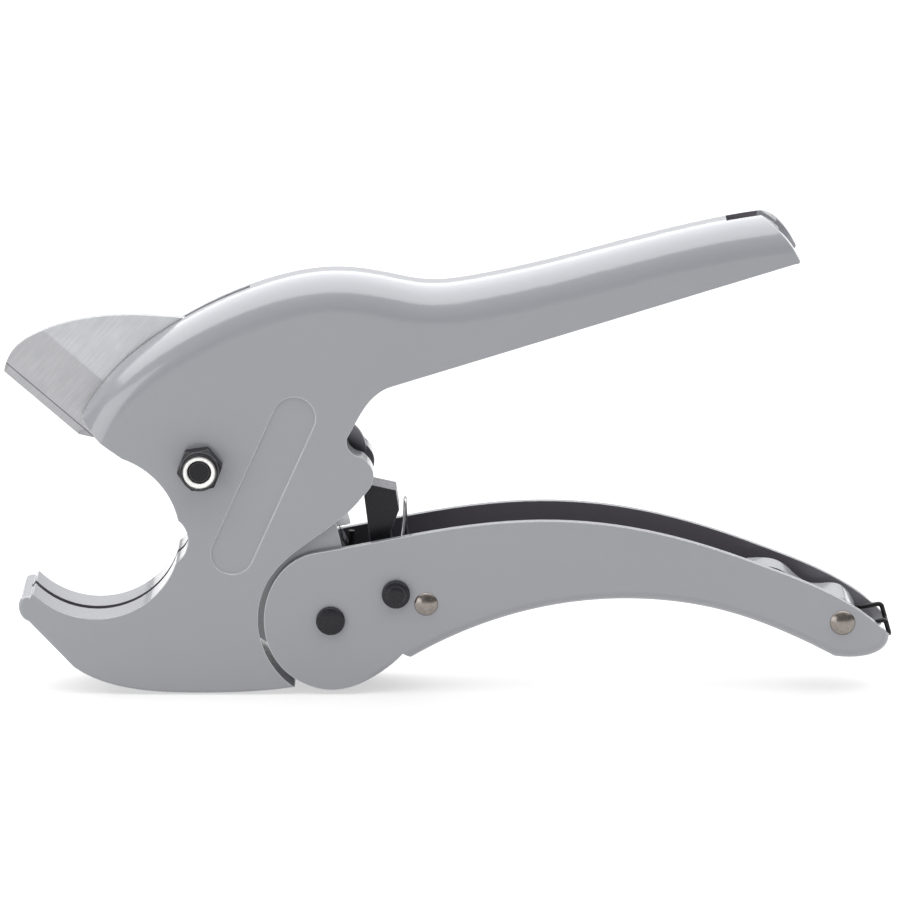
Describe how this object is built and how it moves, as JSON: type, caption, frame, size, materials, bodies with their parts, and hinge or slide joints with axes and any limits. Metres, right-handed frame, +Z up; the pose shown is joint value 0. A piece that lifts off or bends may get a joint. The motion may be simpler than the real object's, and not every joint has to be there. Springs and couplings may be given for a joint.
{
  "type": "ratchet pipe cutter",
  "caption": "Hand ratchet cutter for plastic pipe: cast body with fixed handle and hooked jaw, pivoting blade, pressed lower handle with drive pawl and wire latch.",
  "frame": {"origin": "centre of the round pipe seat, midway through the width of the jaw", "axes": "+Y along the pipe, away from the nut side; +X along the handles, away from the jaw; +Z up, from the jaw towards the fixed handle"},
  "size_m": [0.2233, 0.032, 0.1221],
  "materials": {
    "painted_casting": "aluminium casting with a smooth satin grey powder coat",
    "painted_sheet": "smooth satin grey powder coat on pressed steel sheet",
    "blade_steel": "ground and brushed stainless steel",
    "black_steel": "blackened steel, lightly oiled",
    "black_sheet": "blackened pressed steel",
    "white_nylon": "white nylon",
    "bush_steel": "turned steel",
    "spring_steel": "drawn spring wire",
    "nickel_steel": "nickel-plated steel, pressed dome",
    "latch_sheet": "grey sheet steel",
    "black_wire": "blackened spring wire"
  },
  "bodies": {
    "casting": {"body_casting": "painted_casting", "pivot_bolt": "black_steel", "lock_nut": "black_steel", "nut_nylon_insert": "white_nylon", "bolt_washer": "black_steel", "blade_bush": "bush_steel", "blade_shim_near": "bush_steel", "blade_shim_far": "bush_steel", "lever_pivot_bush": "bush_steel", "return_spring": "spring_steel"},
    "blade": {"blade": "blade_steel"},
    "lower_handle": {"lower_handle": "painted_sheet", "lever_pivot_rivet": "black_steel", "pawl_rivet": "black_steel", "pawl_spacer_near": "bush_steel", "pawl_spacer_far": "bush_steel", "spring_rivet": "nickel_steel", "spring_spool": "bush_steel", "pawl_spring": "spring_steel", "latch_rivet": "nickel_steel"},
    "drive_pawl": {"drive_pawl": "black_sheet"},
    "latch_lever": {"latch_lever": "latch_sheet"},
    "latch_wire": {"latch_wire": "black_wire"}
  },
  "joints": [
    {"name": "blade_swing", "type": "hinge", "parent": "casting", "child": "blade", "pos_m": [0.02675, 0, 0.0182], "axis": [0, -1, 0], "range_deg": [0, 86]},
    {"name": "handle_squeeze", "type": "hinge", "parent": "casting", "child": "lower_handle", "pos_m": [0.05915, 0, -0.0219], "axis": [0, -1, 0], "range_deg": [0, 31], "stiffness_Nm_per_rad": 0.6, "springref_deg": -28.65, "deforming": ["return_spring"]},
    {"name": "pawl_swing", "type": "hinge", "parent": "lower_handle", "child": "drive_pawl", "pos_m": [0.07565, 0, -0.0149], "axis": [0, -1, 0], "range_deg": [-48, 0], "deforming": ["pawl_spring"]},
    {"name": "latch_lever_swing", "type": "hinge", "parent": "lower_handle", "child": "latch_lever", "pos_m": [0.18815, 0, -0.0225], "axis": [0, 1, 0], "range_deg": [0, 60]},
    {"name": "latch_wire_swing", "type": "hinge", "parent": "lower_handle", "child": "latch_wire", "pos_m": [0.18815, 0, -0.0225], "axis": [0, -1, 0], "range_deg": [0, 95]}
  ],
  "couplings": [
    {"joint": "pawl_swing", "follows": "handle_squeeze", "ratio": -1.45}
  ]
}
